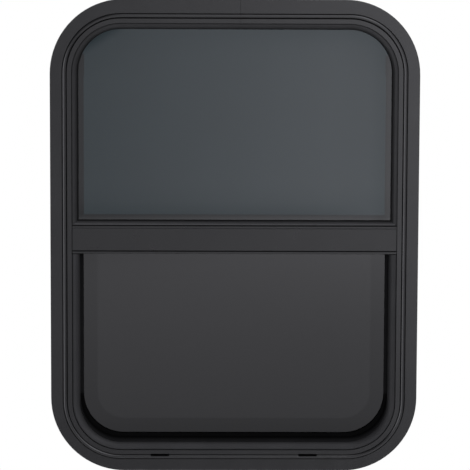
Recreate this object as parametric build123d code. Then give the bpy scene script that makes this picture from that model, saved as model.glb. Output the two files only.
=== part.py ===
from build123d import *
from math import pi
import os

# Caravan window: a bent aluminium frame with a fixed upper glass, a mid rail, a sliding lower glass,
# a lift-out insect screen and an inner clamp ring. Millimetres, Z up, the outside faces -Y.
# Y = 0 is the back of the outer flange, which bears on the vehicle's wall.
# An inset is measured inwards from the outer edge of the flange at the sides.

# Frame outline
frame_width = 500.0
frame_height = 640.0
flange_top_extra = 3.2
flange_corner_radius = 101.0
bend_radius = 96.0
seam_gap = 0.3
seam_floor = 1.6
seam_offset = 7.0
joiner_length = 120.0
joiner_height = 4.0

# Frame section
flange_thickness = 2.4
flange_edge = 0.6
flange_inset = 15.9
bead_inset = 17.5
bead_width = 4.2
bead_height = 5.2
bead_slope = 1.5
bead_drop = 0.7
lip_inset = 23.2
lip_width = 6.0
lip_height = 6.5
lip_thickness = 2.0
groove_floor = 0.6
web_back = 0.6
spigot_inset = 16.5
spigot_wall = 2.2
vehicle_wall = 30.0
rebate_depth = 4.0
fin_thickness = 2.0
fin_inset = 34.0
boss_inset = 31.0
boss_depth = 5.8
screw_port_width = 3.2
screw_port_depth = 4.5

# Drain slots
drain_length = 26.2
drain_height = 3.6
drain_inset = 22.2
drain_spacing = 202.5

# Fixed glass, gaskets and tape
glass_thickness = 4.0
upper_glass_front = -1.0
glass_inset = 26.5
gasket_gap = 0.6
gasket_gap_floor = -2.2
gasket_front = -5.7
gasket_width = 7.1
gasket_crest = 2.3
gasket_shoulder = 0.7
gasket_knee = 2.2
gasket_edge = 0.8
edge_seal_width = 2.2
edge_seal_height = 0.8
edge_seal_head = 0.9
tape_width = 6.5

# Mid rail
rail_top = 16.9
rail_bottom = -20.4
rail_front = -6.0
rail_wall = 2.0
rail_body_top = 11.0
rail_fin_top = 22.0
rail_line_drop = 2.5
rail_line_width = 1.0
rail_line_depth = 1.2
rail_foot_height = 2.6
rail_foot_groove = 1.7
rail_groove_depth = 2.4
rail_foot_step = 0.5
rail_gasket_gap = 1.2
rail_gasket_height = 6.7
rail_seal_height = 2.0
rail_end_gap = 0.9
rail_glass_gap = 1.5
tenon_inset = 26.0
fit_gap = 0.3

# Recess trim, sill ramp and run channels
trim_gap = 1.3
trim_top_gap = 0.9
trim_front = -5.8
trim_inset = 39.6
trim_edge_radius = 8.4
ramp_front = 0.5
ramp_edge = 0.8
ramp_rise = 6.0
ramp_draft = 0.4
track_side_inset = 44.2
track_bottom_inset = 50.8
track_radius = 55.0
track_leg = 2.2
track_front_gap = 0.2
glass_slot = 6.8
middle_leg = 1.8
screen_slot = 5.0
back_leg = 2.0
slot_depth = 9.6
pane_edge_gap = 2.0

# Sliding glass and its hardware
pane_top = 26.0
sash_wall = 1.8
sash_top = 31.5
sash_drop = 12.0
sash_side_gap = 1.4
pull_gap = 26.0
pull_depth = 9.0
pull_thickness = 2.4
latch_length = 38.0
latch_height = 13.0
latch_depth = 8.0
latch_end_gap = 20.4
latch_bevel = 1.5
latch_grooves = 5
latch_groove = 1.2
latch_groove_pitch = 3.0
wiper_front = 1.0
wiper_height = 0.7
wiper_blade = 1.2
interlock_height = 4.0

# Insect screen
screen_edge_gap = 1.0
screen_play = 0.5
screen_frame_width = 27.0
screen_top = 10.0
screen_top_bar = 18.0
spline_inset = 5.0
spline_width = 3.2
spline_depth = 2.4
mesh_thickness = 0.3
tab_width = 18.0
tab_corner_radius = 4.0
tab_thickness = 1.2
tab_lift = 24.0

# Clamp ring
ring_outer_inset = 6.0
ring_pad_width = 8.0
ring_pad = 0.5
ring_thickness = 3.6
ring_edge = 1.2
ring_return = 5.0
ring_return_wall = 2.4
screw_channel_width = 9.6
screw_channel_depth = 1.5
ring_hole_radius = 2.1
ring_holes_side = 2
ring_holes_end = 2

# Derived positions
far = 2000.0
half_width = frame_width / 2
half_height = frame_height / 2
lip_end_inset = lip_inset + lip_width
lip_back = lip_thickness - lip_height
gasket_end_inset = lip_end_inset + gasket_width
aperture_inset = gasket_end_inset + edge_seal_width
glass_back = upper_glass_front + glass_thickness
spigot_inner_inset = spigot_inset + spigot_wall
spigot_end = vehicle_wall + ring_pad
fin_back = rebate_depth + fin_thickness
track_front = fin_back + track_front_gap
slot_front = track_front + track_leg
slot_back = slot_front + glass_slot
pane_front = slot_front + (glass_slot - glass_thickness) / 2
pane_back = pane_front + glass_thickness
screen_slot_front = slot_back + middle_leg
screen_slot_back = screen_slot_front + screen_slot
track_back = screen_slot_back + back_leg
screen_front = screen_slot_front + screen_play
screen_back = screen_slot_back - screen_play
track_height = frame_height - 2 * track_bottom_inset
track_corner_z = track_bottom_inset + track_radius - half_height
track_top = half_height - bend_radius
screw_line_inset = boss_inset - screw_port_depth
sash_front = pane_front - sash_wall
sash_back = pane_back + sash_wall
sash_low = sash_top - sash_wall - sash_drop
sash_half = half_width - track_side_inset - sash_side_gap


def strip(inset_from, inset_to, front, back):
    """A rectangle of a section: insets across, depth along."""
    middle = bend_radius - (inset_from + inset_to) / 2
    return Pos(middle, (front + back) / 2) * Rectangle(inset_to - inset_from, back - front)


def shape(*points):
    """A closed polygon of a section from (inset, depth) points."""
    corners = [(bend_radius - inset, depth) for inset, depth in points]
    return make_face(Polyline(*corners, close=True))


def around(section):
    """A section carried round the frame: four straight sides and four bends."""
    half_x = half_width - bend_radius
    half_z = half_height - bend_radius
    upright = extrude(section, amount=2 * half_z)
    across = extrude(section, amount=2 * half_x)
    bend = revolve(section, Axis.Y, 90)
    ring = Pos(half_x, 0, -half_z) * upright
    ring += Pos(-half_x, 0, half_z) * Rot(0, 180, 0) * upright
    ring += Pos(half_x, 0, half_z) * Rot(0, -90, 0) * across
    ring += Pos(-half_x, 0, -half_z) * Rot(0, 90, 0) * across
    ring += Pos(half_x, 0, -half_z) * bend
    ring += Pos(-half_x, 0, -half_z) * Rot(0, 90, 0) * bend
    ring += Pos(-half_x, 0, half_z) * Rot(0, 180, 0) * bend
    ring += Pos(half_x, 0, half_z) * Rot(0, 270, 0) * bend
    return ring


def facing(depth):
    """The upright plane at a depth, seen from outside."""
    return Plane((0, depth, 0), x_dir=(1, 0, 0), z_dir=(0, -1, 0))


def slab(sketch, front, back):
    """A flat outline, drawn as seen from outside, given a depth."""
    return extrude(facing(front) * sketch, amount=front - back)


def block(x_from, x_to, y_from, y_to, z_from, z_to):
    """A plain box between two corners."""
    middle = Pos((x_from + x_to) / 2, (y_from + y_to) / 2, (z_from + z_to) / 2)
    return middle * Box(x_to - x_from, y_to - y_from, z_to - z_from)


def above(level):
    """All that lies above a height."""
    return block(-far, far, -far, far, level, far)


def below(level):
    """All that lies below a height."""
    return block(-far, far, -far, far, -far, level)


def bar(points, half_length):
    """A polygon of (depth, height) points carried across the window."""
    face = make_face(Polyline(*points, close=True))
    return Pos(-half_length, 0, 0) * extrude(Plane.YZ * face, amount=2 * half_length)


def rounded(inset):
    """The outline that follows the frame's bends at an inset."""
    return RectangleRounded(frame_width - 2 * inset, frame_height - 2 * inset, bend_radius - inset)


def track_outline(outset):
    """The outline the run channels leave visible, grown outwards by an amount."""
    width = frame_width - 2 * track_side_inset + 2 * outset
    return RectangleRounded(width, track_height + 2 * outset, track_radius + outset)


def lower_part(sketch, level):
    """The part of an outline below a height."""
    return sketch & (Pos(0, level - far / 2) * Rectangle(far, far))


def upper_part(sketch, level):
    """The part of an outline above a height."""
    return sketch & (Pos(0, level + far / 2) * Rectangle(far, far))


def mirrored(solid):
    """The same piece on the other side."""
    return mirror(solid, about=Plane.YZ)


pieces = {}

# Outer frame: flange, two grooves and a bead, lip, spigot through the wall, glazing fin and screw boss
flange_spare = -2 * flange_top_extra
frame_section = shape((flange_spare, 0), (flange_spare, -flange_thickness), (flange_inset, -flange_thickness),
                      (bead_inset, -groove_floor), (bead_inset, 0))
frame_section += strip(spigot_inset, lip_inset + lip_thickness, -groove_floor, web_back)
bead_end = bead_inset + bead_width
bead_flank = bead_drop - bead_height
frame_section += shape((bead_inset, web_back), (bead_inset, bead_flank),
                       (bead_inset + bead_slope, -bead_height), (bead_end - bead_slope, -bead_height),
                       (bead_end, bead_flank), (lip_inset, -groove_floor), (lip_inset, web_back))
frame_section += strip(lip_inset, lip_inset + lip_thickness, -lip_height, web_back)
frame_section += strip(lip_inset, lip_end_inset, -lip_height, lip_back)
frame_section += strip(spigot_inset, spigot_inner_inset, 0, spigot_end)
frame_section += strip(spigot_inset, fin_inset, rebate_depth, fin_back)
boss_section = strip(spigot_inset, boss_inset, spigot_end - boss_depth, spigot_end)
port_from = screw_line_inset - screw_port_width / 2
port_to = screw_line_inset + screw_port_width / 2
boss_section -= strip(port_from, port_to, spigot_end - screw_port_depth, spigot_end)
frame_section += boss_section
flange_outline = RectangleRounded(frame_width, frame_height + flange_top_extra, flange_corner_radius)
outer_frame = around(frame_section)
outer_frame &= slab(Pos(0, flange_top_extra / 2) * flange_outline, -far, far)
flange_level = (-flange_thickness - fit_gap, fit_gap - flange_thickness)
flange_front = outer_frame.faces().filter_by(Axis.Y).filter_by_position(Axis.Y, *flange_level)
outer_frame = chamfer(flange_front[0].outer_wire().edges(), flange_edge)
outer_frame -= block(seam_offset - seam_gap / 2, seam_offset + seam_gap / 2, -far, -seam_floor, 0, far)
drain_outline = SlotOverall(drain_length, drain_height)
for side in (-1, 1):
    drain = Pos(side * drain_spacing / 2, drain_inset - half_height) * drain_outline
    outer_frame -= slab(drain, -far, (web_back + rebate_depth) / 2)
pieces["outer_frame"] = outer_frame

# Joiner bar behind the seam at the top of the frame
joiner_top = half_height - spigot_inner_inset
joiner_from = seam_offset - joiner_length / 2
joiner_to = seam_offset + joiner_length / 2
joiner_low = joiner_top - joiner_height
pieces["frame_joiner"] = block(joiner_from, joiner_to, web_back, rebate_depth, joiner_low, joiner_top)

# Mid rail: hollow bar with a glass rebate on top, a fine line, a stepped foot and a tenon at each end
rail_lip_back = rail_front + rail_wall
foot_top = rail_bottom + rail_foot_height
foot_front = rail_front + rail_foot_step
groove_top = foot_top + rail_foot_groove
groove_back = foot_front + rail_groove_depth
line_top = rail_top - rail_line_drop
line_low = line_top - rail_line_width
line_back = rail_front + rail_line_depth
rail = bar([(foot_front, rail_bottom), (foot_front, foot_top), (groove_back, foot_top),
            (rail_front, groove_top), (rail_front, line_low), (line_back, line_top), (rail_front, line_top),
            (rail_front, rail_top), (rail_lip_back, rail_top), (rail_lip_back, rail_body_top),
            (rebate_depth, rail_body_top), (rebate_depth, rail_fin_top), (fin_back, rail_fin_top),
            (fin_back, rail_bottom)], half_width - tenon_inset)
rail -= block(-far, far, rail_lip_back, rebate_depth, groove_top + rail_wall, rail_body_top - rail_wall)
front_end = half_width - lip_end_inset - rail_end_gap
back_end = half_width - fin_inset - fit_gap
for side in (-1, 1):
    rail -= Pos(side * (front_end + far / 2), lip_back - far / 2, 0) * Box(far, far, far)
    rail -= Pos(side * (back_end + far / 2), rebate_depth + far / 2, 0) * Box(far, far, far)
    end_gap = Pos(side * (front_end + rail_end_gap / 2), gasket_gap_floor - far / 2, 0)
    rail -= end_gap * Box(rail_end_gap, far, far)
pieces["mid_rail"] = rail

# Fixed upper glass in the rebates of the frame and the rail
glass_bottom = rail_body_top + rail_glass_gap
pieces["upper_glass"] = slab(upper_part(rounded(glass_inset), glass_bottom), upper_glass_front, glass_back)

# Rounded gasket along the sides and top of the upper glass, mitred into the one along the rail
wedge_from = lip_end_inset + gasket_gap
wedge_crest = wedge_from + gasket_crest
wedge_foot = upper_glass_front - gasket_edge
knee_front = (gasket_front + wedge_foot) / 2 - gasket_shoulder
wedge = shape((glass_inset, lip_back), (lip_end_inset, lip_back), (lip_end_inset, gasket_gap_floor),
              (wedge_from, gasket_gap_floor), (wedge_from, gasket_front + gasket_shoulder),
              (wedge_crest, gasket_front), (wedge_crest + gasket_knee, knee_front),
              (gasket_end_inset, wedge_foot), (gasket_end_inset, upper_glass_front),
              (glass_inset, upper_glass_front))
mitre_half = half_width - lip_end_inset
mitre_top = rail_top + rail_gasket_height
mitre_end = mitre_half - gasket_width
mitre_outline = Polyline((-mitre_half, rail_top), (mitre_half, rail_top), (mitre_end, mitre_top),
                         (-mitre_end, mitre_top), close=True)
mitre = slab(make_face(mitre_outline), -far, far)
pieces["upper_glass_gasket"] = (around(wedge) & above(rail_top)) - mitre
foot_low = glass_bottom + gasket_edge
gap_top = rail_top + rail_gasket_gap
crest_low = gap_top + gasket_crest
rail_wedge = bar([(rail_lip_back, foot_low), (rail_lip_back, rail_top), (gasket_gap_floor, rail_top),
                  (gasket_gap_floor, gap_top), (gasket_front + gasket_shoulder, gap_top),
                  (gasket_front, crest_low), (knee_front, (crest_low + mitre_top) / 2),
                  (wedge_foot, mitre_top), (upper_glass_front, mitre_top), (upper_glass_front, foot_low)],
                 mitre_half)
pieces["rail_glass_gasket"] = rail_wedge - (above(rail_top) - mitre)

# Black edge seal between the gaskets and the clear part of the upper glass
seal_front = upper_glass_front - edge_seal_height
seal_half = half_width - gasket_end_inset
head_shift = edge_seal_width - edge_seal_head
clear_height = frame_height - 2 * aperture_inset + head_shift
clear_outline = Pos(0, head_shift / 2) * RectangleRounded(
    frame_width - 2 * aperture_inset, clear_height, bend_radius - aperture_inset)
edge_seal = slab(rounded(gasket_end_inset) - clear_outline, seal_front, upper_glass_front) & above(mitre_top)
rail_seal_top = mitre_top + rail_seal_height
edge_seal += block(-seal_half, seal_half, seal_front, upper_glass_front, mitre_top, rail_seal_top)
pieces["upper_edge_seal"] = edge_seal

# Glazing tape behind the upper glass
tape_from = fin_inset - tape_width
tape = around(strip(tape_from, fin_inset, glass_back, rebate_depth)) & above(glass_bottom)
tape_half = half_width - tape_from
tape += block(-tape_half, tape_half, glass_back, rebate_depth, glass_bottom, rail_fin_top)
pieces["upper_glazing_tape"] = tape

# Trim that fills the rebate below the rail and rolls into the recess of the sliding glass
trim_from = lip_end_inset + trim_gap
trim_roll = strip(trim_from, trim_inset, trim_front, track_front)
trim_corner = trim_roll.vertices().group_by(Axis.X)[0].group_by(Axis.Y)[0]
trim_section = fillet(trim_corner, trim_edge_radius)
trim_section += strip(tenon_inset, fin_inset, lip_back, rebate_depth)
trim_section -= strip(0, fin_inset + fit_gap, rebate_depth, far)
trim_section -= strip(lip_end_inset, trim_from, -far, gasket_gap_floor)
pieces["recess_trim"] = around(trim_section) & below(rail_bottom - trim_top_gap)

# Run channels of the sliding glass and the screen: one at each side and a sill with the rounded corners
channel_outline = rounded(spigot_inner_inset + fit_gap) - track_outline(0)
slot_outline = track_outline(slot_depth)
run_channel = slab(channel_outline, track_front, track_back)
run_channel -= slab(slot_outline, slot_front, slot_back)
run_channel -= slab(slot_outline, screen_slot_front, screen_slot_back)
pieces["sill_channel"] = run_channel & below(track_corner_z)
upright_channel = run_channel & above(track_corner_z) & below(track_top)
pieces["run_channel_left"] = upright_channel & block(-far, 0, -far, far, -far, far)
pieces["run_channel_right"] = upright_channel & block(0, far, -far, far, -far, far)

# Sloping ramp that sheds water from the sill, highest along the bottom
ramp_inset = trim_inset + ramp_edge
ramp_lift = ramp_rise - ramp_draft
ramp_mouth = facing(ramp_front) * rounded(ramp_inset)
ramp_throat = Pos(0, ramp_lift / 2) * RectangleRounded(
    frame_width - 2 * (ramp_inset + ramp_draft), frame_height - 2 * (ramp_inset + ramp_draft) - ramp_lift,
    bend_radius - ramp_inset - ramp_draft)
ramp_hollow = loft([ramp_mouth, facing(track_front) * ramp_throat], ruled=True)
ramp = slab(rounded(trim_inset), ramp_front, track_front) - ramp_hollow
pieces["sill_ramp"] = ramp & below(bend_radius - half_height)

# Sliding glass, its edges inside the channels
pane_outline = lower_part(track_outline(slot_depth - pane_edge_gap), pane_top)
pieces["sliding_glass"] = slab(pane_outline, pane_front, pane_back)

# Wiper under the rail, bearing on the sliding glass
wiper_low = rail_bottom - wiper_height
pieces["rail_wiper"] = bar([(wiper_front, rail_bottom), (fin_back, rail_bottom), (pane_front, wiper_low),
                            (pane_front, wiper_low - wiper_blade), (fin_back - wiper_blade, wiper_low),
                            (wiper_front, wiper_low)], half_width - track_side_inset - fit_gap)

# Channel on the top edge of the sliding glass, with its pull and two latches
sash = block(-sash_half, sash_half, sash_front, sash_back, sash_low, sash_top)
sash -= block(-far, far, pane_front, pane_back, sash_low, pane_top)
pieces["sash_channel"] = sash
latch_x = sash_half - latch_end_gap - latch_length / 2
pull_half = latch_x - latch_length / 2 - pull_gap
pull_low = sash_top - 2 * pull_thickness
pull_back = sash_back + pull_thickness
pull_end = sash_back + pull_depth
pieces["sash_pull"] = bar([(sash_back, sash_low), (sash_back, sash_top), (pull_back, sash_top),
                           (pull_end, sash_top - pull_thickness / 2), (pull_end, pull_low),
                           (pull_back, pull_low), (pull_back, sash_low)], pull_half)
latch_back = sash_back + latch_depth
latch_top = sash_low + latch_height
latch_from = latch_x - latch_length / 2
latch = block(latch_from, latch_from + latch_length, sash_back, latch_back, sash_low, latch_top)
latch = chamfer(latch.edges().group_by(Axis.Y)[-1], latch_bevel)
for rib in range(latch_grooves):
    rib_x = latch_x + (rib - (latch_grooves - 1) / 2) * latch_groove_pitch
    latch -= block(rib_x - latch_groove / 2, rib_x + latch_groove / 2, latch_back - latch_groove, far,
                   sash_low + latch_bevel, latch_top - latch_bevel)
pieces["sash_latch_right"] = latch
pieces["sash_latch_left"] = mirrored(latch)

# Pile seal between the rail and the sash channel
pieces["interlock_seal"] = block(-sash_half, sash_half, fin_back, sash_front,
                                 rail_fin_top - interlock_height, rail_fin_top)

# Insect screen: frame with a spline groove, spline, mesh and pull tabs
screen_outset = slot_depth - screen_edge_gap - screen_frame_width
opening_top = screen_top - screen_top_bar
screen_outer = lower_part(track_outline(slot_depth - screen_edge_gap), screen_top)
screen_opening = lower_part(track_outline(screen_outset), opening_top)
spline_from = lower_part(track_outline(screen_outset + spline_inset), opening_top + spline_inset)
spline_far = spline_inset + spline_width
spline_to = lower_part(track_outline(screen_outset + spline_far), opening_top + spline_far)
spline = slab(spline_to - spline_from, screen_back - spline_depth, screen_back)
pieces["screen_frame"] = slab(screen_outer - screen_opening, screen_front, screen_back) - spline
pieces["screen_spline"] = spline
pieces["screen_mesh"] = slab(spline_from, screen_back, screen_back + mesh_thickness)
tab_from = half_width - track_side_inset + screen_outset + spline_far + fit_gap
tab_to = half_width - track_side_inset - sash_side_gap
tab_middle = track_corner_z + tab_lift
tab = block(tab_from, tab_to, screen_back, screen_back + tab_thickness,
            tab_middle - tab_width / 2, tab_middle + tab_width / 2)
tab = fillet(tab.edges().filter_by(Axis.Y).group_by(Axis.X)[0], tab_corner_radius)
pieces["screen_tab_right"] = tab
pieces["screen_tab_left"] = mirrored(tab)

# Inner clamp ring: a pad on the wall, a return edge round the boss and a channel with evenly spaced holes
return_inset = boss_inset + fit_gap
ring_end_inset = return_inset + ring_return_wall
ring_back = spigot_end + ring_thickness
ring_section = strip(ring_outer_inset, ring_end_inset, spigot_end, ring_back)
ring_section += strip(return_inset, ring_end_inset, spigot_end - ring_return, ring_back)
ring_section = chamfer(ring_section.vertices().group_by(Axis.Y)[-1], ring_edge)
ring_section += strip(ring_outer_inset, ring_outer_inset + ring_pad_width, vehicle_wall, spigot_end)
channel_from = screw_line_inset - screw_channel_width / 2
channel_to = screw_line_inset + screw_channel_width / 2
ring_section -= strip(channel_from, channel_to, ring_back - screw_channel_depth, ring_back)
clamp_ring = around(ring_section)
screw_x = half_width - screw_line_inset
screw_z = half_height - screw_line_inset
straight_run = 4 * (half_height - bend_radius) + 4 * (half_width - bend_radius)
screw_run = straight_run + 2 * pi * (bend_radius - screw_line_inset)
screw_pitch = screw_run / (2 * (ring_holes_side + ring_holes_end))
hole = Circle(ring_hole_radius)
for side in (-1, 1):
    for step in range(ring_holes_side):
        spot = Pos(side * screw_x, (step - (ring_holes_side - 1) / 2) * screw_pitch)
        clamp_ring -= slab(spot * hole, vehicle_wall, ring_back)
    for step in range(ring_holes_end):
        spot = Pos((step - (ring_holes_end - 1) / 2) * screw_pitch, side * screw_z)
        clamp_ring -= slab(spot * hole, vehicle_wall, ring_back)
pieces["clamp_ring"] = clamp_ring

os.makedirs("parts", exist_ok=True)
for name, solid in pieces.items():
    export_step(solid, f"parts/{name}.step")
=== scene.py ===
import math
import bmesh
import bpy
from mathutils import Matrix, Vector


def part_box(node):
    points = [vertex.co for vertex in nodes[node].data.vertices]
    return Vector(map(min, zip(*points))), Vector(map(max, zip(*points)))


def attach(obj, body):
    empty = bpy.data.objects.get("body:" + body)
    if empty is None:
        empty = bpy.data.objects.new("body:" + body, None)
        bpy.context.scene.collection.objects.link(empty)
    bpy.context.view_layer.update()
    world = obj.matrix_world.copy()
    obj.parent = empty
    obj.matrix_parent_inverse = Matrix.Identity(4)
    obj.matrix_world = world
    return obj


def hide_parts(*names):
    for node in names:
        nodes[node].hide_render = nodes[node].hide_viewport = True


# Caravan window: finishes, the screen's weave, the upper ends of the run channels and the ring's screws

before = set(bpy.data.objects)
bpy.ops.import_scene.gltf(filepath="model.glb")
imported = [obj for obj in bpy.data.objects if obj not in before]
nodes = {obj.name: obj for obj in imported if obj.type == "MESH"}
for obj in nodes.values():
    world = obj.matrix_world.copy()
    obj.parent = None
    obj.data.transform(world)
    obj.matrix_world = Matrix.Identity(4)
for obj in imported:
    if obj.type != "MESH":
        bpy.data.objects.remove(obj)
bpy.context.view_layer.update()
scene = bpy.context.scene
MM = 0.001


# Node helpers

def new_material(name):
    """A material with one plain shader."""
    material = bpy.data.materials.new(name)
    material.use_nodes = True
    tree = material.node_tree
    tree.nodes.clear()
    output = tree.nodes.new("ShaderNodeOutputMaterial")
    shader = tree.nodes.new("ShaderNodeBsdfPrincipled")
    tree.links.new(shader.outputs["BSDF"], output.inputs["Surface"])
    return material, tree, shader


def feed(tree, socket, value):
    """A socket set to a plain value, or linked where the value comes from another node."""
    if isinstance(value, bpy.types.NodeSocket):
        tree.links.new(value, socket)
    else:
        socket.default_value = value


def position(tree):
    """The place on the piece, in the window's own axes."""
    return tree.nodes.new("ShaderNodeTexCoord").outputs["Object"]


def split(tree, vector):
    """The parts of a vector along X, Y and Z."""
    node = tree.nodes.new("ShaderNodeSeparateXYZ")
    tree.links.new(vector, node.inputs["Vector"])
    return node.outputs["X"], node.outputs["Y"], node.outputs["Z"]


def noise(tree, vector, scale, detail, rough=0.5):
    """Cloudy noise, with its scale in waves per metre."""
    node = tree.nodes.new("ShaderNodeTexNoise")
    node.inputs["Scale"].default_value = scale
    node.inputs["Detail"].default_value = detail
    node.inputs["Roughness"].default_value = rough
    tree.links.new(vector, node.inputs["Vector"])
    return node.outputs["Fac"]


def spread(tree, value, low, high, start=0.3, end=0.7):
    """A value taken from one range to another and held at its ends."""
    node = tree.nodes.new("ShaderNodeMapRange")
    node.inputs["From Min"].default_value = start
    node.inputs["From Max"].default_value = end
    node.inputs["To Min"].default_value = low
    node.inputs["To Max"].default_value = high
    tree.links.new(value, node.inputs["Value"])
    return node.outputs["Result"]


def fade_in(tree, value, start, end):
    return spread(tree, value, 0.0, 1.0, start, end)


def fade_out(tree, value, start, end):
    return spread(tree, value, 1.0, 0.0, start, end)


def maths(tree, kind, *values):
    """Values joined by one operation, from the first to the last."""
    result = values[0]
    for value in values[1:]:
        node = tree.nodes.new("ShaderNodeMath")
        node.operation = kind
        feed(tree, node.inputs[0], result)
        feed(tree, node.inputs[1], value)
        result = node.outputs["Value"]
    return result


def stretch(tree, value, begins, ends):
    """1 along a stretch of values and 0 outside it, with a fade at each end."""
    return maths(tree, "MULTIPLY", fade_in(tree, value, *begins), fade_out(tree, value, *ends))


def mix(tree, factor, first, second, kind="MIX"):
    """Two colours mixed by a factor."""
    node = tree.nodes.new("ShaderNodeMix")
    node.data_type = "RGBA"
    node.blend_type = kind
    tree.links.new(factor, node.inputs["Factor"])
    feed(tree, node.inputs["A"], first)
    feed(tree, node.inputs["B"], second)
    return node.outputs["Result"]


def ramp(tree, value, stops):
    """Grey levels along a direction that runs from -1 to 1."""
    node = tree.nodes.new("ShaderNodeValToRGB")
    elements = node.color_ramp.elements
    while len(elements) < len(stops):
        elements.new(0.5)
    for element, (place, level) in zip(elements, stops):
        element.position = (place + 1) / 2
        element.color = (level, level, level, 1)
    tree.links.new(fade_in(tree, value, -1.0, 1.0), node.inputs["Fac"])
    return node.outputs["Color"]


def bump(tree, shader, height, strength, depth):
    """A surface roughened by a height, to a depth in metres."""
    node = tree.nodes.new("ShaderNodeBump")
    node.inputs["Strength"].default_value = strength
    node.inputs["Distance"].default_value = depth
    tree.links.new(height, node.inputs["Height"])
    tree.links.new(node.outputs["Normal"], shader.inputs["Normal"])


def shade(tone, level):
    """A tone of red, green and blue at a level."""
    return (tone[0] * level, tone[1] * level, tone[2] * level, 1.0)


# Materials

NEUTRAL = (1.0, 1.0, 1.0)
COOL = (1.0, 1.0, 1.03)
DARK_CLOUD = (0.90, 0.90, 0.93)
PALE_CLOUD = (1.10, 1.10, 1.14)
GLOSS_SPREAD = 0.03
DULL = 0.95
GRAIN_STRENGTH = 0.35
POWDER_GRAIN = 1430.0
RUBBER_GRAIN = 2400.0
PLASTIC_GRAIN = 1900.0
FLOCK_GRAIN = 3500.0
POCKET_FADE = 5.0 * MM
BAND_FADE = 0.15 * MM
FRONT_FADE = 0.2 * MM
TINT_SPREAD = 0.06
WIPE_RANGE = (0.45, 0.8)
WAVE_STRENGTH = 0.1
WAVE_DEPTH = 0.02 * MM


def coat(name, level, rough, shine, grain, grain_depth, metal=0.0, shaded_hollow=None):
    """A dark surface with cloudy colour, uneven gloss and a fine grain, its depth in mm.

    It may be dull where it lies deep, with painted shade darkening its colour there: the last argument
    gives the two depths in mm between which it turns so, and the share of its colour that is left there.
    """
    material, tree, shader = new_material(name)
    shader.inputs["Specular IOR Level"].default_value = shine
    shader.inputs["Metallic"].default_value = metal
    where = position(tree)
    cloud = spread(tree, noise(tree, where, scale=22.0, detail=4.0), 0.0, 1.0)
    colour = mix(tree, cloud, shade(DARK_CLOUD, level), shade(PALE_CLOUD, level))
    patches = noise(tree, where, scale=60.0, detail=5.0)
    gloss = spread(tree, patches, rough - GLOSS_SPREAD, rough + GLOSS_SPREAD)
    if shaded_hollow:
        begin, end, left_over = shaded_hollow
        _, depth, _ = split(tree, where)
        deep = fade_in(tree, depth, begin * MM, end * MM)
        gloss = maths(tree, "ADD", gloss, maths(tree, "MULTIPLY", deep, DULL - rough))
        # Painted shade: the colour drops to the share left over where the piece lies deep
        colour = mix(tree, deep, colour, shade(NEUTRAL, left_over), "MULTIPLY")
    tree.links.new(colour, shader.inputs["Base Color"])
    tree.links.new(gloss, shader.inputs["Roughness"])
    bump(tree, shader, noise(tree, where, grain, detail=2.0), GRAIN_STRENGTH, grain_depth * MM)
    return material


def gasket(name):
    """Satin rubber, with painted shade darkening it towards its foot."""
    return coat(name, level=0.018, rough=0.5, shine=0.26, grain=RUBBER_GRAIN, grain_depth=0.05,
                shaded_hollow=(-4.2, -1.8, 0.75))


def painted_pocket_shade(material, begin, end, height):
    """Painted shade in a pocket where no light falls: no gloss behind a depth and below a height, in mm."""
    tree = material.node_tree
    shader = tree.nodes["Principled BSDF"]
    _, depth, upward = split(tree, position(tree))
    inside = fade_in(tree, depth, begin * MM, end * MM)
    low_down = fade_out(tree, upward, height * MM - POCKET_FADE, height * MM + POCKET_FADE)
    pocket = maths(tree, "MULTIPLY", inside, low_down)
    # Painted shade: a black specular tint takes the gloss out of the pocket
    tint = mix(tree, pocket, shade(NEUTRAL, 1.0), shade(NEUTRAL, 0.0))
    tree.links.new(tint, shader.inputs["Specular Tint"])


def painted_light_band(material, level, bottom, top, front):
    """A painted highlight when paler, painted shade when darker: a stretch between two heights, behind a
    depth, in mm.
    """
    tree = material.node_tree
    shader = tree.nodes["Principled BSDF"]
    _, depth, upward = split(tree, position(tree))
    begins = (bottom * MM - BAND_FADE, bottom * MM + BAND_FADE)
    ends = (top * MM - BAND_FADE, top * MM + BAND_FADE)
    behind = fade_in(tree, depth, front * MM, front * MM + FRONT_FADE)
    band = maths(tree, "MULTIPLY", stretch(tree, upward, begins, ends), behind)
    ground = shader.inputs["Base Color"].links[0].from_socket
    tree.links.new(mix(tree, band, ground, shade(COOL, level)), shader.inputs["Base Color"])


def tinted(name, tint, haze, bend):
    """Toughened tinted glass: clear gloss with faint wipe marks and roller waves."""
    material, tree, shader = new_material(name)
    shader.inputs["Transmission Weight"].default_value = 1.0
    shader.inputs["IOR"].default_value = bend
    where = position(tree)
    cloud = spread(tree, noise(tree, where, scale=9.0, detail=3.0), 0.0, 1.0)
    colour = mix(tree, cloud, shade(tint, 1 - TINT_SPREAD), shade(tint, 1 + TINT_SPREAD))
    tree.links.new(colour, shader.inputs["Base Color"])
    wipe = noise(tree, where, scale=14.0, detail=6.0, rough=0.6)
    tree.links.new(spread(tree, wipe, 0.0, haze, *WIPE_RANGE), shader.inputs["Roughness"])
    bump(tree, shader, noise(tree, where, scale=5.0, detail=1.0), WAVE_STRENGTH, WAVE_DEPTH)
    return material


# Powder coats
paint = coat("powder_coat", level=0.0075, rough=0.30, shine=0.5, grain=POWDER_GRAIN, grain_depth=0.03)
# The frame's and the rail's coats carry painted shade in their grooves
frame_paint = coat("frame_coat", level=0.0112, rough=0.24, shine=0.5, grain=POWDER_GRAIN, grain_depth=0.03,
                   shaded_hollow=(-2.1, -1.3, 0.3))
rail_paint = coat("rail_coat", level=0.0098, rough=0.30, shine=0.48, grain=POWDER_GRAIN, grain_depth=0.03,
                  shaded_hollow=(-4.8, -4.0, 0.3))
screen_paint = coat("screen_coat", level=0.013, rough=0.42, shine=0.5, grain=POWDER_GRAIN, grain_depth=0.04)

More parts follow.
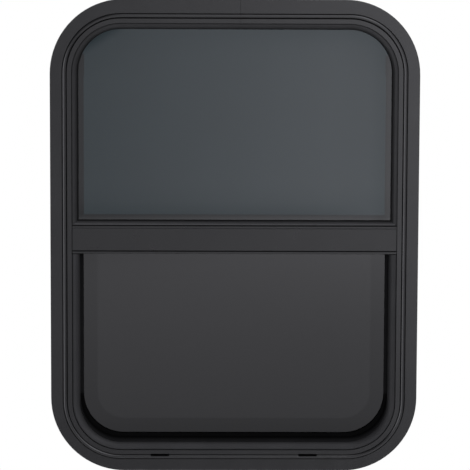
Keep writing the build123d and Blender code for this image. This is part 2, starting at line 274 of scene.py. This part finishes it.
# Painted shade in the pockets behind the drain slots and in the rail, and a painted highlight on the rail's
# fine pale line
painted_pocket_shade(frame_paint, begin=-0.4, end=0.4, height=-285)
painted_pocket_shade(rail_paint, begin=-4.6, end=-3.6, height=30)
# Painted highlight along the rail's fine line, where its slope faces up
painted_light_band(rail_paint, level=0.058, bottom=13.4, top=14.4, front=-5.9)

# Rubbers, foam and flock
rubber = gasket("gasket_rubber")
# The rail's gasket has its own copy of the rubber, which carries painted light and shade
rail_rubber = gasket("rail_rubber")
seal = coat("edge_seal", level=0.003, rough=0.7, shine=0.10, grain=RUBBER_GRAIN, grain_depth=0.05)
foam = coat("glazing_foam", level=0.006, rough=0.85, shine=0.10, grain=1100.0, grain_depth=0.2)
flock = coat("flocked_rubber", level=0.0070, rough=0.9, shine=0.05, grain=FLOCK_GRAIN, grain_depth=0.2)
# The sill's flock is a darker copy of the flock: painted shade deep in the recess
shaded_sill_flock = coat("flocked_sill_shaded", level=0.0018, rough=0.9, shine=0.03, grain=FLOCK_GRAIN, grain_depth=0.2)

# Painted highlight on the foot of the rail's gasket, and painted shade in the gap below it
painted_light_band(rail_rubber, level=0.054, bottom=18.85, top=20.2, front=-8.0)
painted_light_band(rail_rubber, level=0.004, bottom=16.0, top=18.5, front=-8.0)

# Plastics, yarn, bare metal and glass
# The trim and the sill ramp carry painted shade, darker with depth into the recess
plastic = coat("trim_plastic", level=0.0215, rough=0.5, shine=0.20, grain=PLASTIC_GRAIN, grain_depth=0.06,
               shaded_hollow=(-4.0, 3.0, 0.7))
sill_black = coat("sill_black", level=0.008, rough=0.7, shine=0.03, grain=PLASTIC_GRAIN, grain_depth=0.06,
                  shaded_hollow=(0.5, 5.0, 0.1))
latch = coat("latch_plastic", level=0.014, rough=0.5, shine=0.4, grain=1600.0, grain_depth=0.1)
yarn = coat("screen_yarn", level=0.012, rough=0.5, shine=0.4, grain=3000.0, grain_depth=0.02)
mill = coat("mill_aluminium", level=0.55, rough=0.38, shine=0.5, grain=900.0, grain_depth=0.03, metal=1.0)
upper_tint = tinted("upper_tint", tint=(0.0112, 0.0198, 0.0240), haze=0.03, bend=1.62)
lower_tint = tinted("lower_tint", tint=(0.0085, 0.0085, 0.0092), haze=0.03, bend=1.58)

finishes = {
    frame_paint: ("outer_frame",),
    rail_paint: ("mid_rail",),
    paint: ("sash_channel", "sash_pull", "clamp_ring"),
    mill: ("frame_joiner",),
    upper_tint: ("upper_glass",),
    lower_tint: ("sliding_glass",),
    rubber: ("upper_glass_gasket", "screen_spline"),
    rail_rubber: ("rail_glass_gasket",),
    seal: ("upper_edge_seal",),
    foam: ("upper_glazing_tape",),
    plastic: ("recess_trim", "rail_wiper"),
    sill_black: ("sill_ramp",),
    flock: ("run_channel_left", "run_channel_right", "interlock_seal"),
    shaded_sill_flock: ("sill_channel",),
    latch: ("sash_latch_left", "sash_latch_right", "screen_tab_left", "screen_tab_right"),
    screen_paint: ("screen_frame",),
}
for finish, names in finishes.items():
    for name in names:
        mesh = nodes[name].data
        mesh.materials.clear()
        mesh.materials.append(finish)


# Pieces made here

def add_piece(name, work, material, replaced=None):
    """A mesh piece on the window's own body."""
    bmesh.ops.recalc_face_normals(work, faces=work.faces)
    mesh = bpy.data.meshes.new(name)
    work.to_mesh(mesh)
    work.free()
    piece = bpy.data.objects.new(name, mesh)
    scene.collection.objects.link(piece)
    mesh.materials.append(material)
    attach(piece, "root")
    if replaced:
        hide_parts(replaced)


def add_bar(work, low, high):
    """A straight bar between two corners."""
    middle = [(a + b) / 2 for a, b in zip(low, high)]
    size = [b - a for a, b in zip(low, high)]
    place = Matrix.Translation(middle) @ Matrix.Diagonal((*size, 1.0))
    bmesh.ops.create_cube(work, size=1.0, matrix=place)


def add_skin(work, first, second):
    """A closed band of faces between two loops of as many points."""
    for k in range(len(first)):
        work.faces.new((first[k - 1], first[k], second[k], second[k - 1]))


# Insect mesh: upright and level yarns in two layers, cut to the outline with its rounded lower corners

weave_low, weave_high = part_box("screen_mesh")
weave_pitch = 1.5 * MM
weave_corner = 41.6 * MM
yarn_width = 0.26 * MM
half_yarn = yarn_width / 2
yarn_share = 0.55
yarn_depth = (weave_high[1] - weave_low[1]) * yarn_share
half_span = (weave_high[0] - weave_low[0]) / 2
upright_count = int(2 * half_span / weave_pitch)
level_count = int((weave_high[2] - weave_low[2]) / weave_pitch)


def corner_rise(offset):
    """How far the rounded outline stands back, for a yarn this far inside a straight edge."""
    if offset >= weave_corner:
        return 0.0
    return weave_corner - math.sqrt(max(weave_corner ** 2 - (weave_corner - offset) ** 2, 0.0))


work = bmesh.new()
for step in range(upright_count):
    x = (step - (upright_count - 1) / 2) * weave_pitch
    foot = weave_low[2] + corner_rise(half_span - abs(x))
    low = (x - half_yarn, weave_low[1], foot)
    high = (x + half_yarn, weave_low[1] + yarn_depth, weave_high[2])
    add_bar(work, low, high)
for step in range(level_count):
    z = weave_high[2] - (step + 0.5) * weave_pitch
    reach = half_span - corner_rise(z - weave_low[2])
    low = (-reach, weave_high[1] - yarn_depth, z - half_yarn)
    high = (reach, weave_high[1], z + half_yarn)
    add_bar(work, low, high)
add_piece("screen_weave", work, yarn, "screen_mesh")


# Upper ends of the run channels, which follow the frame's bend a little way with the same two slots

run_low, run_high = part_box("run_channel_right")
run_rise = 24.5 * MM
run_steps = 10
bend_centre = 154.0 * MM
front_leg = 2.2 * MM
glass_slot = 6.8 * MM
middle_leg = 1.8 * MM
screen_slot = 5.0 * MM
slot_depth = 9.6 * MM


def run_section(rise):
    """The channel's outline at a height above its straight part, as points across and in depth."""
    bend_reach = run_high[0] - bend_centre
    outer = bend_centre + math.sqrt(bend_reach ** 2 - rise ** 2)
    tip = run_low[0]
    root = tip + slot_depth
    front, back = run_low[1], run_high[1]
    glass_front = front + front_leg
    glass_back = glass_front + glass_slot
    screen_front = glass_back + middle_leg
    screen_back = screen_front + screen_slot
    points = [(outer, front), (tip, front)]
    for near, far in ((glass_front, glass_back), (screen_front, screen_back)):
        points += [(tip, near), (root, near), (root, far), (tip, far)]
    return points + [(tip, back), (outer, back)]


for name, side in (("run_end_left", -1), ("run_end_right", 1)):
    work = bmesh.new()
    loops = []
    for step in range(run_steps + 1):
        rise = run_rise * step / run_steps
        level = run_high[2] + rise
        loops.append([work.verts.new((side * x, y, level)) for x, y in run_section(rise)])
    for first, second in zip(loops, loops[1:]):
        add_skin(work, first, second)
    work.faces.new(loops[0])
    work.faces.new(loops[-1])
    add_piece(name, work, flock)


# Screws of the clamp ring: low heads with a cross recess, seated in the ring's channel

screw_pitch = 243.59 * MM
side_line = 223.5 * MM
end_line = 293.5 * MM
screw_point = 27.0 * MM
screw_taper = 1.5 * MM
screw_seat = 32.6 * MM
screw_face = 33.9 * MM
point_radius = 0.75 * MM
shank_radius = 1.5 * MM
head_radius = 3.7 * MM
head_rim = 0.6 * MM
face_radius = 2.96 * MM
cross_arm = 2.0 * MM
cross_half = 0.45 * MM
cross_depth = 0.9 * MM
head_sides = 24


def circle(radius):
    turns = [2 * math.pi * k / head_sides for k in range(head_sides)]
    return [(radius * math.cos(t), radius * math.sin(t)) for t in turns]


def cross():
    """The outline of the recess: one arm's three points, turned by quarters."""
    arm = [(cross_arm, -cross_half), (cross_arm, cross_half), (cross_half, cross_half)]
    points = []
    for _ in range(4):
        points += arm
        arm = [(-b, a) for a, b in arm]
    return points


def add_screw(work, x, z):
    """One screw at a place across and a height, with its point towards the outside."""
    def loop(points, y):
        return [work.verts.new((x + a, y, z + b)) for a, b in points]

    point = loop(circle(point_radius), screw_point)
    shank = loop(circle(shank_radius), screw_point + screw_taper)
    neck = loop(circle(shank_radius), screw_seat)
    skirt = loop(circle(head_radius), screw_seat)
    rim = loop(circle(head_radius), screw_seat + head_rim)
    face = loop(circle(face_radius), screw_face)
    mouth = loop(cross(), screw_face)
    pit = loop(cross(), screw_face - cross_depth)
    rounds = (point, shank, neck, skirt, rim, face)
    for first, second in zip(rounds, rounds[1:]):
        add_skin(work, first, second)
    add_skin(work, mouth, pit)
    work.faces.new(point)
    work.faces.new(pit)
    edges = []
    for ring in (face, mouth):
        edges += [work.edges.get((ring[k - 1], ring[k])) for k in range(len(ring))]
    bmesh.ops.triangle_fill(work, edges=edges, use_beauty=True)


work = bmesh.new()
for side in (-1, 1):
    for step in (-0.5, 0.5):
        add_screw(work, side * side_line, step * screw_pitch)
        add_screw(work, step * screw_pitch, side * end_line)
add_piece("ring_screws", work, latch)


# Pale floor, well below the window

floor_level = -0.75
floor_half = 1.8
floor_front = -0.8
floor_back = 2.0
floor_dark = 0.80
floor_pale = 0.84
floor_rough = 0.8

work = bmesh.new()
corners = []
for side, y in ((-1, floor_front), (1, floor_front), (1, floor_back), (-1, floor_back)):
    corners.append(work.verts.new((side * floor_half, y, floor_level)))
work.faces.new(corners)
floor_mesh = bpy.data.meshes.new("floor")
work.to_mesh(floor_mesh)
work.free()
floor = bpy.data.objects.new("floor", floor_mesh)
scene.collection.objects.link(floor)
floor_material, tree, shader = new_material("floor")
cloud = spread(tree, noise(tree, position(tree), scale=3.0, detail=4.0), 0.0, 1.0)
floor_colour = mix(tree, cloud, shade(NEUTRAL, floor_dark), shade(NEUTRAL, floor_pale))
tree.links.new(floor_colour, shader.inputs["Base Color"])
shader.inputs["Roughness"].default_value = floor_rough
floor_mesh.materials.append(floor_material)


# Studio light by direction: x runs to the right and z upward, from -1 to 1

def broad_light(tree, x, z):
    """Light that grows to the right and changes with height, darkest low in front."""
    lean_gain = 4.0
    height_gain = 2.0
    least, most = 0.15, 1.30
    lean = ramp(tree, z, [(-0.2, 0.10), (-0.135, 0.16), (-0.111, 0.38), (-0.085, 1.25)])
    slope = maths(tree, "ADD", maths(tree, "MULTIPLY", lean, lean_gain, x), 1.0)
    slope = maths(tree, "MINIMUM", maths(tree, "MAXIMUM", slope, least), most)
    height = ramp(tree, z, [
        (-1.0, 0.60), (-0.6, 0.50), (-0.45, 0.10), (-0.30, 0.03), (-0.22, 0.095), (-0.18, 0.33),
        (-0.148, 0.40), (-0.104, 0.515), (-0.094, 0.46), (-0.085, 0.42), (-0.081, 0.425), (-0.074, 0.49),
        (-0.02, 0.49), (-0.003, 0.475), (0.006, 0.42), (0.25, 0.43), (0.5, 0.50), (1.0, 0.59)])
    far_right = spread(tree, x, 1.0, 0.5, 0.4, 0.75)
    return maths(tree, "MULTIPLY", slope, height, height_gain, far_right)


def border_loss(tree, x, z):
    """The share of light that is missing where the upper pane's borders mirror the studio."""
    right_loss = 0.11
    ends_loss = 0.12
    corner_loss = 0.5
    corner_slant = 1.6
    top_loss = 0.10
    bottom_loss = 0.17
    rim_gain = 0.22
    top_fade = (0.010, 0.030)
    pane_width = stretch(tree, x, (-0.080, -0.064), (0.105, 0.125))

    right_side = stretch(tree, x, (0.078, 0.085), (0.0855, 0.0868))
    right = maths(tree, "MULTIPLY", right_side, fade_in(tree, z, -0.10, -0.09), right_loss)

    both_ends = maths(tree, "MAXIMUM", fade_out(tree, x, -0.058, -0.035), fade_in(tree, x, 0.066, 0.085))
    top_ends = maths(tree, "MULTIPLY", both_ends, stretch(tree, z, (-0.020, 0.002), top_fade), ends_loss)

    slant = maths(tree, "SUBTRACT", maths(tree, "MULTIPLY", z, corner_slant), x)
    left_bend = fade_in(tree, slant, 0.0452, 0.0528)
    corner = maths(tree, "MULTIPLY", left_bend, fade_out(tree, z, 0.006, 0.012), corner_loss)

    top_right = fade_in(tree, x, -0.005, 0.05)
    top = maths(tree, "MULTIPLY", top_right, stretch(tree, z, (-0.004, 0.005), top_fade), top_loss)

    bottom_left = fade_out(tree, x, 0.060, 0.080)
    bottom_edge = stretch(tree, z, (-0.0856, -0.0847), (-0.0845, -0.0785))
    bottom = maths(tree, "MULTIPLY", bottom_left, bottom_edge, bottom_loss)

    pale_rim = maths(tree, "MULTIPLY", stretch(tree, z, (-0.098, -0.090), (-0.0868, -0.0857)), rim_gain)
    loss = maths(tree, "ADD", right, top_ends, corner, top, bottom)
    return maths(tree, "MULTIPLY", maths(tree, "SUBTRACT", loss, pale_rim), pane_width)


def right_glow(tree, x, z):
    """Light ahead on the right, weaker high up and gone low down."""
    strength = 2.88
    across = stretch(tree, x, (0.085, 0.25), (0.4, 0.6))
    high_up = spread(tree, z, 1.0, 0.45, 0.10, 0.30)
    return maths(tree, "MULTIPLY", across, fade_in(tree, z, -0.20, 0.06), high_up, strength)


def left_glow(tree, x, z):
    """Light from the left, at the window's height and below, weak at the far side."""
    strength = 2.6
    across = fade_out(tree, x, -0.56, -0.44)
    far_side = spread(tree, x, 0.1, 1.0, -0.90, -0.80)
    low_down = spread(tree, z, 0.7, 1.0, -0.14, -0.06)
    return maths(tree, "MULTIPLY", across, far_side, fade_out(tree, z, 0.1, 0.35), low_down, strength)


def background(tree, colour):
    node = tree.nodes.new("ShaderNodeBackground")
    node.inputs["Color"].default_value = colour
    return node


studio_tone = (0.99, 0.99, 1.05)

world = bpy.data.worlds.new("studio")
scene.world = world
world.use_nodes = True
tree = world.node_tree
tree.nodes.clear()
x_way, _, z_way = split(tree, tree.nodes.new("ShaderNodeTexCoord").outputs["Generated"])
kept = maths(tree, "SUBTRACT", 1.0, border_loss(tree, x_way, z_way))
light = maths(tree, "MULTIPLY", broad_light(tree, x_way, z_way), kept)
light = maths(tree, "ADD", light, left_glow(tree, x_way, z_way), right_glow(tree, x_way, z_way))
studio = background(tree, shade(studio_tone, 1.0))
tree.links.new(light, studio.inputs["Strength"])
white = background(tree, shade(NEUTRAL, 1.0))

# White where it is seen directly or through the panes
path = tree.nodes.new("ShaderNodeLightPath")
seen = maths(tree, "MAXIMUM", path.outputs["Is Camera Ray"], path.outputs["Is Transmission Ray"])
choice = tree.nodes.new("ShaderNodeMixShader")
tree.links.new(seen, choice.inputs["Fac"])
tree.links.new(studio.outputs["Background"], choice.inputs[1])
tree.links.new(white.outputs["Background"], choice.inputs[2])
surround = tree.nodes.new("ShaderNodeOutputWorld")
tree.links.new(choice.outputs["Shader"], surround.inputs["Surface"])


# Camera in front of the window and above its middle, in metres and degrees

focal_px = 2068.8
picture_px = 470.0
sensor_mm = 36.0
camera_reach = 100.0
camera_place = (-0.03762, -2.8, 0.27069)
pitch, yaw, roll = (math.radians(angle) for angle in (-5.4268, -0.7821, -0.2201))

camera_data = bpy.data.cameras.new("camera")
camera_data.sensor_width = sensor_mm
camera_data.lens = focal_px * sensor_mm / picture_px
camera_data.clip_end = camera_reach
camera = bpy.data.objects.new("camera", camera_data)
scene.collection.objects.link(camera)
upright = Matrix.Rotation(math.pi / 2, 4, "X")
turn = Matrix.Rotation(yaw, 4, "Z") @ Matrix.Rotation(pitch, 4, "X") @ Matrix.Rotation(roll, 4, "Y")
camera.matrix_world = Matrix.Translation(camera_place) @ turn @ upright
scene.camera = camera
scene.view_settings.view_transform = "Standard"
